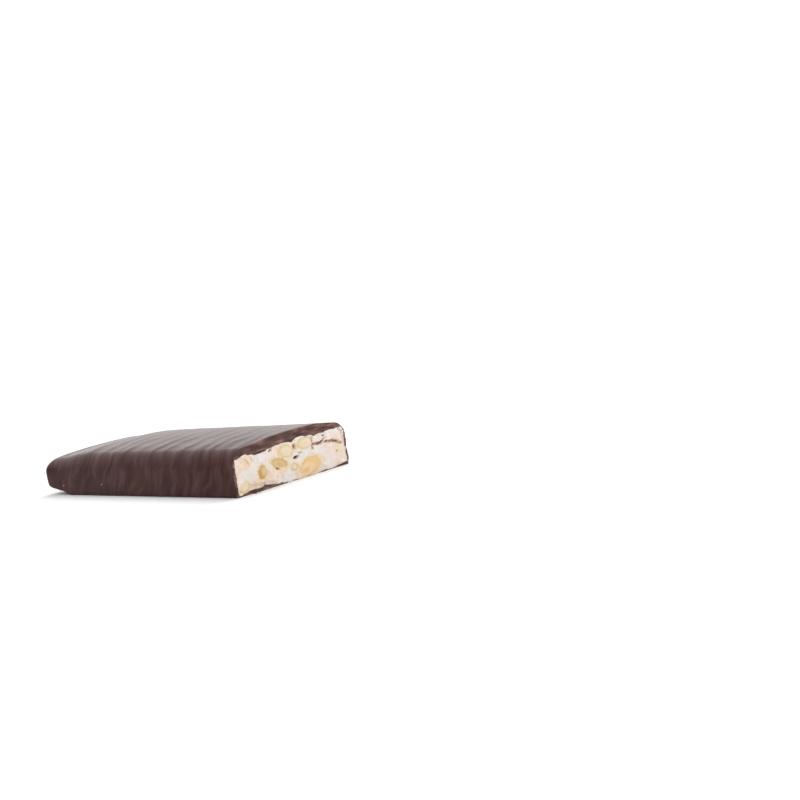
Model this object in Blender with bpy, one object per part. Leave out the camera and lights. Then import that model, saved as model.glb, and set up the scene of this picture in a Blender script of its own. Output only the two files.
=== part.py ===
"""Half of a bar of soft almond nougat in dark chocolate, cut across its middle.

The bar lies along X, with its closed end at -X and its cut end at +X. Its near
side is at -Y. Z = 0 is the surface that it lies on, and the origin is on that
surface, under the middle of the half bar.
"""

import math

import bmesh
import bpy
from mathutils import Euler, Vector, noise

MM = 0.001

# Driving sizes of the half bar
LENGTH = 96.0 * MM
WIDTH = 46.0 * MM
EDGE_HEIGHT = 12.6 * MM
CROWN = 2.0 * MM
CROWN_PEAK_Y = 9.0 * MM
FAR_DROOP = 1.0 * MM
FAR_DROOP_START = 10.0 * MM
SIDE_DRAFT = 0.3 * MM

# The top bends down beside the near edge, over this width, but not at the cut itself
NEAR_DROOP = 0.9 * MM
NEAR_DROOP_RUN = 9.0 * MM
NEAR_DROOP_FADE = 12.0 * MM

# The top is level at the cut, rises a little towards the closed end, and dips at that end
TOP_RISE = 0.45 * MM
TOP_RISE_START = 22.0 * MM
END_DIP = 1.35 * MM
END_DIP_START = 3.0 * MM
END_DIP_STOP = 22.0 * MM

# Rounded edges of the coating
NEAR_SHOULDER = 4.2 * MM
FAR_SHOULDER = 3.4 * MM
BASE_EDGE = 0.8 * MM
END_NEAR_CORNER = 2.5 * MM
END_FAR_CORNER = 7.1 * MM

# The closed end is round: how far its top falls and its base rises, the run of each curve, and how
# far its two sides swell at their middle height
END_TOP_FALL = 5.4 * MM
END_TOP_RUN = 2.1 * MM
END_BASE_RISE = 3.0 * MM
END_BASE_RUN = 7.2 * MM
END_BULGE = 0.7 * MM
END_BULGE_RUN = 12.0 * MM
END_BULGE_Z = 7.4 * MM
END_BULGE_REACH = 6.0 * MM

# Height of the underside, in mm, at distances from the closed end: that end doesn't touch the surface
END_UNDERSIDE = ((0.0, 1.9), (5.5, 1.7), (10.3, 0.9), (11.6, 0.2), (13.0, 0.0))

# Walls of the coating round the nougat
TOP_WALL = 2.1 * MM
NEAR_WALL = 1.1 * MM
FAR_WALL = 1.0 * MM
BASE_WALL = 0.8 * MM
END_WALL = 2.0 * MM
NOUGAT_NEAR_CORNER = 0.8 * MM
NOUGAT_FAR_CORNER = 1.6 * MM
NOUGAT_END_FALL = 2.6 * MM
NOUGAT_END_RISE = 1.6 * MM
NOUGAT_END_RUN = 3.5 * MM
NOUGAT_BASE_CORNER = 0.6 * MM
NOUGAT_TOP_BLEND = 0.35
FIT_GAP = 0.3 * MM

# Height of the nougat's uneven top, in mm, from the near side to the far side
NOUGAT_TOP = (
    (-23.0, 9.8),
    (-20.7, 10.3),
    (-18.7, 10.9),
    (-16.5, 10.5),
    (-14.4, 10.1),
    (-12.4, 10.5),
    (-9.4, 10.7),
    (-6.9, 11.2),
    (-3.4, 11.4),
    (0.0, 10.9),
    (1.6, 11.7),
    (4.2, 12.0),
    (7.0, 11.5),
    (9.6, 11.2),
    (13.4, 11.5),
    (16.6, 11.7),
    (21.3, 11.7),
    (23.0, 11.4),
)

# Waves that the coating set in: where each crosses the near shoulder, in mm from the cut, and its strength
WAVES = (
    (-17.0, 0.7),
    (-11.0, 0.8),
    (-5.5, 0.7),
    (0.2, 0.8),
    (5.9, 0.9),
    (11.6, 1.0),
    (17.0, 0.8),
    (24.0, 1.1),
    (32.0, 1.0),
    (38.0, 1.1),
    (45.0, 0.8),
    (52.0, 0.9),
    (57.5, 0.7),
    (64.0, 0.9),
    (72.0, 0.8),
    (80.0, 0.4),
    (88.0, 0.2),
)
WAVE_WIDTH = 1.7 * MM
WAVE_HEIGHT = 0.17 * MM
WAVE_LEVEL = 0.35
WAVE_BACK_LOSS = 0.75
WAVE_LOSS_START = -16.0 * MM
WAVE_LOSS_END = 8.0 * MM
WAVE_SIDE_SHARE = 0.3
WAVE_LEAN_TOP = 0.42
WAVE_LEAN_SIDE = 0.5
WAVE_FOOT = 0.5 * MM
WAVE_FULL = 4.0 * MM
SWELL_HEIGHT = 0.12 * MM
SWELL_SIZE = 17.0 * MM

# The break at the cut end
COATING_SET_BACK = 0.35 * MM
TOP_BREAK_SLOPE = 0.2
TOP_BREAK_START = 10.8 * MM
COATING_CRAG = 0.6 * MM
COATING_CRAG_SIZE = 2.4 * MM
COATING_PATTERN = 2.0
NOUGAT_CRAG = 0.7 * MM
NOUGAT_CRAG_SIZE = 3.2 * MM
NOUGAT_PATTERN = 7.0

CUT_X = LENGTH / 2
CLOSED_X = -LENGTH / 2

# Almonds that show at the cut, in mm: the middle (y, z) of the face that was cut, how far behind it
# the almond's middle lies, half its length, width and thickness, how far it moves in Y and Z for
# each mm that it runs back, and how far it's turned about its length, in degrees
ALMONDS = (
    ((6.1, 3.9), 3.0, (9.5, 4.2, 2.4), (0.15, 0.02), 14),
    ((-12.6, 5.1), 5.0, (8.5, 2.6, 2.2), (-0.1, 0.05), 80),
    ((4.8, 9.3), 2.0, (8.0, 3.0, 1.5), (0.1, 0.02), 4),
    ((-2.9, 8.7), 2.0, (8.5, 2.6, 1.5), (-0.05, 0.03), -8),
    ((-6.4, 5.4), 2.0, (8.0, 2.8, 1.2), (-0.1, 0.0), -12),
    ((-19.2, 3.0), 2.5, (7.5, 1.6, 1.4), (0.05, 0.1), 30),
    ((-0.4, 4.0), 2.0, (6.0, 1.2, 1.1), (0.0, 0.0), 0),
)
ALMOND_TAPER = 0.28
ALMOND_SEGMENTS = 16
ALMOND_RINGS = 10
ALMOND_SET_BACK = 0.3 * MM

# How finely the solids are faceted: points along the base, the top, a side and a corner of a section,
# depths of the rings that fill an end, and where the nougat's sections are, from its closed end
COATING_POINTS = (5, 18, 4, 3)
COATING_SPACING = 1.3 * MM
COATING_END_STEPS = 9
COATING_CLOSED_RINGS = (0.3 * MM,)
COATING_CUT_RINGS = (0.6 * MM, 1.2 * MM, 1.9 * MM, 2.7 * MM, 3.6 * MM, 5.0 * MM)
CORE_POINTS = (10, 34, 5, 2)
CORE_SPANS = (0.0, 0.6 * MM, 2.0 * MM, 4.0 * MM, 7.0 * MM, 9.0 * MM, 11.5 * MM, 0.5 * LENGTH, 0.85 * LENGTH)
CORE_CLOSED_RINGS = (0.8 * MM,)
CORE_CUT_RINGS = (0.8 * MM, 1.7 * MM, 2.7 * MM, 3.7 * MM, 4.6 * MM)
SHARP_ANGLE = math.radians(40)
CUTTER_REACH = 3.0 * MM


def clear_scene():
    for old in list(bpy.data.objects):
        bpy.data.objects.remove(old)


def make_material(name, colour, roughness):
    material = bpy.data.materials.new(name)
    material.use_nodes = True
    shader = material.node_tree.nodes["Principled BSDF"]
    shader.inputs["Base Color"].default_value = (*colour, 1.0)
    shader.inputs["Roughness"].default_value = roughness
    shader.inputs["Metallic"].default_value = 0.0
    return material


def smooth_step(start, end, value):
    share = min(1.0, max(0.0, (value - start) / (end - start)))
    return share * share * (3.0 - 2.0 * share)


def rounding(distance, run, fall):
    """How far a rounded edge of this run falls away, at a distance from its end."""
    if distance >= run:
        return 0.0
    return fall * (1.0 - math.sqrt(1.0 - (1.0 - distance / run) ** 2))


def crown_height(y):
    """Height of the crowned top, highest behind the middle, and drooping towards the far side."""
    reach = WIDTH / 2 + CROWN_PEAK_Y
    crown = CROWN * (1.0 - ((y - CROWN_PEAK_Y) / reach) ** 2)
    return EDGE_HEIGHT + crown - FAR_DROOP * smooth_step(FAR_DROOP_START, WIDTH / 2, y)


def near_droop(along, y):
    """How far the top bends down beside the near edge, at a distance from the closed end."""
    inward = max(0.0, 1.0 - (y + WIDTH / 2) / NEAR_DROOP_RUN)
    return NEAR_DROOP * inward**2 * (1.0 - smooth_step(LENGTH - NEAR_DROOP_FADE, LENGTH, along))


def top_level(along):
    """How much higher the top is, at a distance from the closed end, than at the cut."""
    rise = TOP_RISE * (1.0 - smooth_step(TOP_RISE_START, LENGTH, along))
    return rise - END_DIP * (1.0 - smooth_step(END_DIP_START, END_DIP_STOP, along))


def end_bulge(along, z):
    """How far the sides swell beside the closed end."""
    swell = max(0.0, 1.0 - ((z - END_BULGE_Z) / END_BULGE_REACH) ** 2)
    return END_BULGE * swell * (1.0 - smooth_step(0.0, END_BULGE_RUN, along))


def interpolate(table, place):
    """The value at a place in a table of (place, value) rows, straight between its rows."""
    if place <= table[0][0]:
        return table[0][1]
    for (before, low), (after, high) in zip(table, table[1:]):
        if place <= after:
            return low + (high - low) * (place - before) / (after - before)
    return table[-1][1]


def base_height(along):
    """Height of the underside at a distance from the closed end."""
    return interpolate(END_UNDERSIDE, along / MM) * MM


def arc_points(centre, radius, start_degrees, count):
    """Points of a quarter turn, without its last point."""
    found = []
    for step in range(count):
        angle = math.radians(start_degrees + 90.0 * step / count)
        found.append((centre[0] + radius * math.cos(angle), centre[1] + radius * math.sin(angle)))
    return found


def run_points(start, end, count):
    """Evenly spaced points of a straight run, without its last point."""
    found = []
    for step in range(count):
        share = step / count
        found.append((start[0] + share * (end[0] - start[0]), start[1] + share * (end[1] - start[1])))
    return found


def rounded_section(near, far, low, high, radii, counts):
    """Points (y, z) round a rounded rectangle: the base, the far side, the top, then the near side."""
    base_r, far_r, near_r = radii
    below, above, upright, corner = counts
    points = run_points((near + base_r, low), (far - base_r, low), below)
    points += arc_points((far - base_r, low + base_r), base_r, -90, corner)
    points += run_points((far, low + base_r), (far, high - far_r), upright)
    points += arc_points((far - far_r, high - far_r), far_r, 0, corner)
    points += run_points((far - far_r, high), (near + near_r, high), above)
    points += arc_points((near + near_r, high - near_r), near_r, 90, corner)
    points += run_points((near, high - near_r), (near, low + base_r), upright)
    points += arc_points((near + base_r, low + base_r), base_r, 180, corner)
    return points


def outward_directions(points):
    """Unit outward direction at each point of a section."""
    found = []
    for index, _ in enumerate(points):
        before = points[index - 1]
        after = points[(index + 1) % len(points)]
        direction = Vector((after[1] - before[1], before[0] - after[0]))
        found.append(direction.normalized())
    return found


def wave_relief(along, y, z):
    """Height of the waves. They run back over the top and down the side, leaning to the closed end."""
    across = y + WIDTH / 2
    lean = WAVE_LEAN_TOP * across * (1.0 - 0.5 * across / WIDTH)
    drop = max(0.0, EDGE_HEIGHT - NEAR_SHOULDER / 2 - z)
    from_cut = LENGTH - along - lean - WAVE_LEAN_SIDE * drop
    height = sum(share * math.exp(-(((from_cut - place * MM) / WAVE_WIDTH) ** 2)) for place, share in WAVES)
    on_side = WAVE_SIDE_SHARE * smooth_step(WAVE_FOOT, WAVE_FULL, z)
    on_top = (1.0 - WAVE_SIDE_SHARE) * smooth_step(EDGE_HEIGHT - NEAR_SHOULDER, EDGE_HEIGHT, z)
    kept = 1.0 - WAVE_BACK_LOSS * smooth_step(WAVE_LOSS_START, WAVE_LOSS_END, y)
    swell = noise.noise(Vector((along, y, z)) / SWELL_SIZE)
    return (on_side + on_top) * (kept * WAVE_HEIGHT * (height - WAVE_LEVEL) + SWELL_HEIGHT * swell)


def outer_section(along):
    """Section of the coating's outside at a distance from the closed end."""
    near = -WIDTH / 2 + rounding(along, END_NEAR_CORNER, END_NEAR_CORNER)
    far = WIDTH / 2 - rounding(along, END_FAR_CORNER, END_FAR_CORNER)
    fall = rounding(along, END_TOP_RUN, END_TOP_FALL) - top_level(along)
    rise = base_height(along) + rounding(along, END_BASE_RUN, END_BASE_RISE)
    radii = (BASE_EDGE, FAR_SHOULDER, NEAR_SHOULDER)
    flat = rounded_section(near, far, 0.0, EDGE_HEIGHT, radii, COATING_POINTS)
    found = []
    for (y, z), direction in zip(flat, outward_directions(flat)):
        share = z / EDGE_HEIGHT
        y *= 1.0 - SIDE_DRAFT / WIDTH * share
        top = crown_height(y) - near_droop(along, y)
        z += share * (top - EDGE_HEIGHT - fall) + (1.0 - share) * rise
        push = wave_relief(along, y, z) + end_bulge(along, z) * abs(direction[0])
        found.append((y + push * direction[0], z + push * direction[1]))
    return found


def nougat_top(y):
    """Height of the nougat's uneven top."""
    return interpolate(NOUGAT_TOP, y / MM) * MM


def core_section(along, start, grow):
    """Section of the nougat, or with grow above zero of the hollow that holds it."""
    near_corner = END_NEAR_CORNER - END_WALL
    far_corner = END_FAR_CORNER - END_WALL
    near = -WIDTH / 2 + NEAR_WALL - grow + rounding(along - start, near_corner, near_corner)
    far = WIDTH / 2 - FAR_WALL + grow - rounding(along - start, far_corner, far_corner)
    low = BASE_WALL - grow
    high = EDGE_HEIGHT - TOP_WALL + grow
    radii = (NOUGAT_BASE_CORNER + grow, NOUGAT_FAR_CORNER + grow, NOUGAT_NEAR_CORNER + grow)
    fall = rounding(along - start, NOUGAT_END_RUN, NOUGAT_END_FALL)
    rise = base_height(along) + rounding(along - start, NOUGAT_END_RUN, NOUGAT_END_RISE)
    found = []
    for y, z in rounded_section(near, far, low, high, radii, CORE_POINTS):
        lifted = smooth_step(NOUGAT_TOP_BLEND * high, high, z)
        share = (z - low) / (high - low)
        top = nougat_top(y) + top_level(along) - near_droop(along, y)
        z += lifted * (top + grow - high)
        z += (1.0 - share) * rise - share * fall
        found.append((y, z))
    return found


def crag(y, z, size, pattern):
    """Roughness of a break, about 0 to 1. A different pattern gives different crags."""
    return 0.5 + 0.5 * noise.fractal(Vector((y / size, z / size, pattern)), 1.0, 2.0, 3)


def coating_break(y, z):
    """How far the broken edge of the coating lies behind the cut: the thick top slopes back."""
    slope = TOP_BREAK_SLOPE * max(0.0, z - TOP_BREAK_START)
    return COATING_SET_BACK + slope + COATING_CRAG * crag(y, z, COATING_CRAG_SIZE, COATING_PATTERN)


def nougat_break(y, z):
    """How far the torn face of the nougat lies behind the cut."""
    return NOUGAT_CRAG * crag(y, z, NOUGAT_CRAG_SIZE, NOUGAT_PATTERN)


def ring_middle(points):
    """The middle (y, z) of a ring of points."""
    across = [y for y, _ in points]
    upright = [z for _, z in points]
    return (min(across) + max(across)) / 2, (min(upright) + max(upright)) / 2


def inset_section(section, depth):
    """The section drawn in evenly by a depth, towards the line along its middle."""
    middle_y, middle_z = ring_middle(section)
    half_y = max(y for y, _ in section) - middle_y
    half_z = max(z for _, z in section) - middle_z
    shrink_y = 1.0 - depth / half_y
    shrink_z = 1.0 - depth / half_z
    return [(middle_y + shrink_y * (y - middle_y), middle_z + shrink_z * (z - middle_z)) for y, z in section]


def join_rings(mesh, first, second):
    """Faces between two rings of vertices, the second further towards the cut."""
    count = len(first)
    for index in range(count):
        after = (index + 1) % count
        mesh.faces.new((first[index], first[after], second[after], second[index]))


def close_ring(mesh, ring, middle):
    """A fan of faces from a ring to a point in its middle."""
    centre = mesh.verts.new(middle)
    for index, vertex in enumerate(ring):
        mesh.faces.new((vertex, ring[(index + 1) % len(ring)], centre))


def loft(name, sections, closed_depths, cut_depths, cut_relief, material):
    """Lofts a closed body through sections, with both ends filled by rings drawn in by these depths.

    Each section is (distance from the closed end, its points). The body ends at
    the cut, less the relief there, and every section's points move with that.
    """
    mesh = bmesh.new()
    last_points = sections[-1][1]
    full = sections[-1][0]
    ends = [cut_relief(y, z) for y, z in last_points]
    rings = []
    for depth in reversed(closed_depths):
        along, points = sections[0]
        drawn = inset_section(points, depth)
        rings.append([mesh.verts.new((CLOSED_X + along, y, z)) for y, z in drawn])
    for along, points in sections:
        share = smooth_step(0.5 * full, full, along)
        ring = []
        for (y, z), back in zip(points, ends):
            ring.append(mesh.verts.new((CLOSED_X + along - share * back, y, z)))
        rings.append(ring)
    for depth in cut_depths:
        drawn = inset_section(last_points, depth)
        rings.append([mesh.verts.new((CLOSED_X + full - cut_relief(y, z), y, z)) for y, z in drawn])
    for first, second in zip(rings, rings[1:]):
        join_rings(mesh, first, second)
    y, z = ring_middle(sections[0][1])
    close_ring(mesh, list(reversed(rings[0])), (CLOSED_X + sections[0][0], y, z))
    y, z = ring_middle(last_points)
    close_ring(mesh, rings[-1], (CLOSED_X + full - cut_relief(y, z), y, z))
    bmesh.ops.triangulate(mesh, faces=mesh.faces[:])
    data = bpy.data.meshes.new(name)
    mesh.to_mesh(data)
    mesh.free()
    data.materials.append(material)
    data.shade_smooth()
    data.set_sharp_from_angle(angle=SHARP_ANGLE)
    return bpy.data.objects.new(name, data)


def outer_stations():
    """Distances from the closed end: close together round the end's rounded edge, then even."""
    turns = [math.pi / 2 * step / COATING_END_STEPS for step in range(COATING_END_STEPS)]
    found = [END_FAR_CORNER * (1.0 - math.cos(turn)) for turn in turns]
    count = round((LENGTH - END_FAR_CORNER) / COATING_SPACING)
    found += [END_FAR_CORNER + (LENGTH - END_FAR_CORNER) * step / count for step in range(count + 1)]
    return found


def core_sections(grow, end):
    start = END_WALL - grow
    stations = [start + span for span in CORE_SPANS] + [end]
    return [(along, core_section(along, start, grow)) for along in stations]


def make_hollow(cutters, material):
    """The cutter that opens the coating for the nougat, and runs out past the cut."""
    sections = core_sections(FIT_GAP, LENGTH + CUTTER_REACH)
    hollow = loft("hollow", sections, CORE_CLOSED_RINGS, CORE_CLOSED_RINGS, lambda y, z: 0.0, material)
    cutters.objects.link(hollow)
    return hollow


def make_coating(collection, cutters, material):
    """The chocolate round the nougat, open at the cut."""
    sections = [(along, outer_section(along)) for along in outer_stations()]
    coating = loft(
        "chocolate_coating", sections, COATING_CLOSED_RINGS, COATING_CUT_RINGS, coating_break, material
    )
    collection.objects.link(coating)
    cut = coating.modifiers.new("hollow", "BOOLEAN")
    cut.object = make_hollow(cutters, material)
    cut.operation = "DIFFERENCE"


def make_almond_body(name, almond, grow, material):
    """A whole blanched almond, blunt at one end and pointed at the other, lying across the cut."""
    (y, z), behind, halves, (run_y, run_z), turn = almond
    mesh = bmesh.new()
    bmesh.ops.create_uvsphere(mesh, u_segments=ALMOND_SEGMENTS, v_segments=ALMOND_RINGS, radius=1.0)
    half_length, half_width, half_thickness = (half * MM + grow for half in halves)
    for vertex in mesh.verts:
        lengthwise = vertex.co.z
        narrowing = 1.0 - ALMOND_TAPER * lengthwise
        vertex.co = Vector((
            half_length * lengthwise,
            half_width * narrowing * vertex.co.x,
            half_thickness * narrowing * vertex.co.y,
        ))
    data = bpy.data.meshes.new(name)
    mesh.to_mesh(data)
    mesh.free()
    data.materials.append(material)
    data.shade_smooth()
    data.set_sharp_from_angle(angle=SHARP_ANGLE)
    almond_object = bpy.data.objects.new(name, data)
    almond_object.location = (CUT_X - behind * MM, (y + behind * run_y) * MM, (z + behind * run_z) * MM)
    sideways = math.atan(-run_y)
    upwards = math.atan(run_z)
    almond_object.rotation_euler = Euler((math.radians(turn), upwards, sideways))
    return almond_object


def make_cut_block(cutters):
    """The block beyond the cut that trims the almonds."""
    depth = 30.0 * MM
    mesh = bmesh.new()
    bmesh.ops.create_cube(mesh, size=1.0)
    for vertex in mesh.verts:
        vertex.co = Vector((vertex.co.x * depth, vertex.co.y * 2 * WIDTH, vertex.co.z * 2 * WIDTH))
    data = bpy.data.meshes.new("beyond_the_cut")
    mesh.to_mesh(data)
    mesh.free()
    block = bpy.data.objects.new("beyond_the_cut", data)
    block.location = (CUT_X + depth / 2 - ALMOND_SET_BACK, 0.0, 0.0)
    cutters.objects.link(block)
    return block


def make_almonds(collection, cutters, material):
    """The almonds at the cut, trimmed there, and a pocket in the nougat for each."""
    block = make_cut_block(cutters)
    pockets = bpy.data.collections.new("Almond pockets")
    cutters.children.link(pockets)
    for number, almond in enumerate(ALMONDS, start=1):
        whole = make_almond_body(f"almond_{number}", almond, 0.0, material)
        collection.objects.link(whole)
        trim = whole.modifiers.new("cut", "BOOLEAN")
        trim.object = block
        trim.operation = "DIFFERENCE"
        pockets.objects.link(make_almond_body(f"pocket_{number}", almond, FIT_GAP, material))
    return pockets


def make_nougat(collection, pockets, material):
    """The nougat, with a pocket for each almond that shows."""
    sections = core_sections(0.0, LENGTH)
    nougat = loft("nougat_filling", sections, CORE_CLOSED_RINGS, CORE_CUT_RINGS, nougat_break, material)
    collection.objects.link(nougat)
    cut = nougat.modifiers.new("pockets", "BOOLEAN")
    cut.operand_type = "COLLECTION"
    cut.collection = pockets
    cut.operation = "DIFFERENCE"


def hide_cutters(cutters):
    for helper in cutters.all_objects:
        helper.hide_render = True
        helper.display_type = "WIRE"


def main():
    clear_scene()
    scene = bpy.context.scene
    bar = bpy.data.collections.new("Nougat half bar")
    cutters = bpy.data.collections.new("Cutters")
    scene.collection.children.link(bar)
    scene.collection.children.link(cutters)
    chocolate = make_material("dark chocolate", (0.042, 0.020, 0.016), 0.35)
    nougat = make_material("soft nougat", (0.80, 0.69, 0.58), 0.7)
    almond = make_material("blanched almond", (0.76, 0.56, 0.33), 0.5)
    make_coating(bar, cutters, chocolate)
    pockets = make_almonds(bar, cutters, almond)
    make_nougat(bar, pockets, nougat)
    hide_cutters(cutters)


main()
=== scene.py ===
"""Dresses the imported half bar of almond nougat: ripples, broken chocolate, torn nougat, almonds and crumbs.

Every size in this file is in millimetres. X runs along the bar to its cut end,
Y across it to its far side, and Z up from the surface that it lies on.
"""

import logging
import math
from collections.abc import Callable, Sequence
from dataclasses import dataclass, field
from enum import Enum

import bmesh
import bpy
from mathutils import Matrix, Vector, noise


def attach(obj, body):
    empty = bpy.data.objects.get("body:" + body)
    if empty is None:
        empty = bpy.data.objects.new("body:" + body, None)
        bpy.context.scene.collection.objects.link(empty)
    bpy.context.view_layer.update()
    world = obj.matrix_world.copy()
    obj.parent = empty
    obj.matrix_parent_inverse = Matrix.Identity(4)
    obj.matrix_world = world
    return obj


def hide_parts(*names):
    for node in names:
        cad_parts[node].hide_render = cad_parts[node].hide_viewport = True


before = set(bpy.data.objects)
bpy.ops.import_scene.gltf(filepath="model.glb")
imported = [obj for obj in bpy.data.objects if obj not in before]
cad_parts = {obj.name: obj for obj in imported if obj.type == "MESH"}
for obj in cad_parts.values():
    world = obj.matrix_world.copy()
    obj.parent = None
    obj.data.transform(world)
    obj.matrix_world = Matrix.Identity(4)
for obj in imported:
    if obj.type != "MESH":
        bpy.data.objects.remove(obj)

MM = 0.001
BODY = "root"
LOG = logging.getLogger("nougat_half_bar")

Point = tuple[float, float]
Place = tuple[float, float, float]
Colour = tuple[float, float, float, float]
Stops = tuple[tuple[float, str], ...]
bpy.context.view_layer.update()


def linear(hex_colour: str) -> Colour:
    """Turns an sRGB hex colour into the linear colour that a shader takes.

    Args:
        hex_colour: Six hex digits, such as "3b2622".

    Returns:
        Linear red, green and blue, and an alpha of 1.
    """
    channels = [int(hex_colour[start:start + 2], 16) / 255.0 for start in (0, 2, 4)]
    red, green, blue = [c / 12.92 if c <= 0.04045 else ((c + 0.055) / 1.055) ** 2.4 for c in channels]
    return red, green, blue, 1.0


def smooth_step(start: float, end: float, value: float) -> float:
    """Rises smoothly from 0 at start to 1 at end."""
    share = min(1.0, max(0.0, (value - start) / (end - start)))
    return share * share * (3.0 - 2.0 * share)


def interpolate(table: Sequence[Point], place: float) -> float:
    """Reads a table of (place, value) rows, straight between its rows.

    Args:
        table: The rows, in order of place.
        place: Where to read it.

    Returns:
        The value there, or the nearest row's value beyond the ends.
    """
    if place <= table[0][0]:
        return table[0][1]
    for (before, low), (after, high) in zip(table, table[1:]):
        if place <= after:
            return low + (high - low) * (place - before) / (after - before)
    return table[-1][1]


def rounding(distance: float, run: float, fall: float) -> float:
    """How far a rounded edge of this run falls away, at a distance from its end."""
    if distance >= run:
        return 0.0
    return fall * (1.0 - math.sqrt(1.0 - (1.0 - distance / run) ** 2))


class Pattern(float, Enum):
    """Layers of the noise, one for each kind of roughness, so that no two look alike."""

    FINE_RIPPLES = 1.0
    CRAGS = 2.0
    FIBRES = 3.0
    RIPPLE_STRENGTH = 4.0
    CHIPS = 5.0
    LUMPS = 7.0
    RIPPLE_WANDER = 8.0
    TEARS = 9.0
    NOUGAT_EDGE = 11.0
    GRIT = 13.0
    HOLLOWS = 21.0
    CRACKS = 31.0
    PITS = 41.0
    STRIPS = 43.0
    STAINS = 51.0


def lumps(y: float, z: float, size: float, pattern: float, octaves: int = 3) -> float:
    """Roughness over a broken face, about -1 to 1.

    Args:
        y: Place across the bar.
        z: Place above the base.
        size: Size of the largest lumps.
        pattern: Layer of the noise: each number gives other lumps.
        octaves: How many finer layers lie on the largest lumps.

    Returns:
        The roughness there.
    """
    return noise.fractal(Vector((y / size, z / size, pattern)), 1.0, 2.0, octaves)


def turned(y: float, z: float, degrees: float) -> Point:
    """Turns a point of the cut about the origin."""
    angle = math.radians(degrees)
    return y * math.cos(angle) - z * math.sin(angle), y * math.sin(angle) + z * math.cos(angle)


def distance_to_path(y: float, z: float, path: Sequence[Point]) -> float:
    """Distance from a point to a path of straight stretches."""
    nearest = math.inf
    for (ay, az), (by, bz) in zip(path, path[1:]):
        span_y = by - ay
        span_z = bz - az
        share = ((y - ay) * span_y + (z - az) * span_z) / (span_y * span_y + span_z * span_z)
        share = min(1.0, max(0.0, share))
        nearest = min(nearest, math.hypot(y - ay - share * span_y, z - az - share * span_z))
    return nearest


def rounded_outline(sides: Sequence[float], radii: Sequence[float], counts: Sequence[int]) -> list[Point]:
    """Points round a rectangle with rounded corners: base, far side, top, then near side.

    Args:
        sides: Near and far Y, then low and high Z.
        radii: Radius of both base edges, of the far shoulder and of the near shoulder.
        counts: Points along the base, the top, each upright and each corner.

    Returns:
        The points, each (y, z).
    """
    near, far, low, high = sides
    base_r, far_r, near_r = radii
    below, above, upright, corner = counts
    points: list[Point] = []

    def run(start: Point, end: Point, count: int) -> None:
        """Adds a straight run without its last point."""
        for step in range(count):
            share = step / count
            points.append((start[0] + share * (end[0] - start[0]), start[1] + share * (end[1] - start[1])))

    def turn(centre: Point, radius: float, start_degrees: float) -> None:
        """Adds a quarter turn without its last point."""
        for step in range(corner):
            angle = math.radians(start_degrees + 90.0 * step / corner)
            points.append((centre[0] + radius * math.cos(angle), centre[1] + radius * math.sin(angle)))

    run((near + base_r, low), (far - base_r, low), below)
    turn((far - base_r, low + base_r), base_r, -90)
    run((far, low + base_r), (far, high - far_r), upright)
    turn((far - far_r, high - far_r), far_r, 0)
    run((far - far_r, high), (near + near_r, high), above)
    turn((near + near_r, high - near_r), near_r, 90)
    run((near, high - near_r), (near, low + base_r), upright)
    turn((near + base_r, low + base_r), base_r, 180)
    return points


class Channel(Enum):
    """Values that a mesh carries for its finish."""

    FLOW = "flow"
    REACH = "reach"
    # Depth of holes and cracks; the nougat's material darkens them with it as painted shade.
    DEPTH = "depth"
    CORE = "core"
    STAIN = "stain"


@dataclass
class MeshDraft:
    """Points, faces and finish values of a mesh while it is being built, in millimetres."""

    points: list[Place] = field(default_factory=list)
    faces: list[tuple[int, ...]] = field(default_factory=list)
    values: dict[Channel, list[float]] = field(default_factory=dict)

    def add_point(self, x: float, y: float, z: float, **values: float) -> int:
        """Adds a point with its finish values.

        Args:
            x: Place along the bar.
            y: Place across the bar.
            z: Place above the base.
            values: A value for each channel, by its name in lower case.

        Returns:
            The point's index.
        """
        self.points.append((x, y, z))
        for name, value in values.items():
            self.values.setdefault(Channel(name), []).append(value)
        return len(self.points) - 1

    def join_rings(self, first: Sequence[int], second: Sequence[int]) -> None:
        """Adds the faces between two closed rings of points."""
        count = len(first)
        for index in range(count):
            after = (index + 1) % count
            self.faces.append((first[index], first[after], second[after], second[index]))

    def join_rows(self, rows: Sequence[Sequence[int]]) -> None:
        """Adds the faces between open rows of points."""
        for first, second in zip(rows, rows[1:]):
            for index in range(len(first) - 1):
                self.faces.append((first[index], first[index + 1], second[index + 1], second[index]))

    def close_ring(self, ring: Sequence[int], centre: int) -> None:
        """Fills a ring with a fan of faces to a point in its middle."""
        for index, corner in enumerate(ring):
            self.faces.append((corner, ring[(index + 1) % len(ring)], centre))

    def finish(self, name: str, material: bpy.types.Material) -> bpy.types.Object:
        """Makes the object, with its faces turned out and shaded smooth.

        Args:
            name: The object's name.
            material: Its finish.

        Returns:
            The new object, riding on the bar.
        """
        mesh = bpy.data.meshes.new(name)
        mesh.from_pydata([(x * MM, y * MM, z * MM) for x, y, z in self.points], [], self.faces)
        for channel, values in self.values.items():
            attribute = mesh.attributes.new(channel.value, "FLOAT", "POINT")
            attribute.data.foreach_set("value", values)
        edit = bmesh.new()
        edit.from_mesh(mesh)
        bmesh.ops.recalc_face_normals(edit, faces=edit.faces[:])
        edit.to_mesh(mesh)
        edit.free()
        mesh.shade_smooth()
        mesh.materials.append(material)
        piece = bpy.data.objects.new(name, mesh)
        bpy.context.scene.collection.objects.link(piece)
        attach(piece, BODY)
        LOG.info("%s: %d faces", name, len(mesh.polygons))
        return piece


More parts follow.
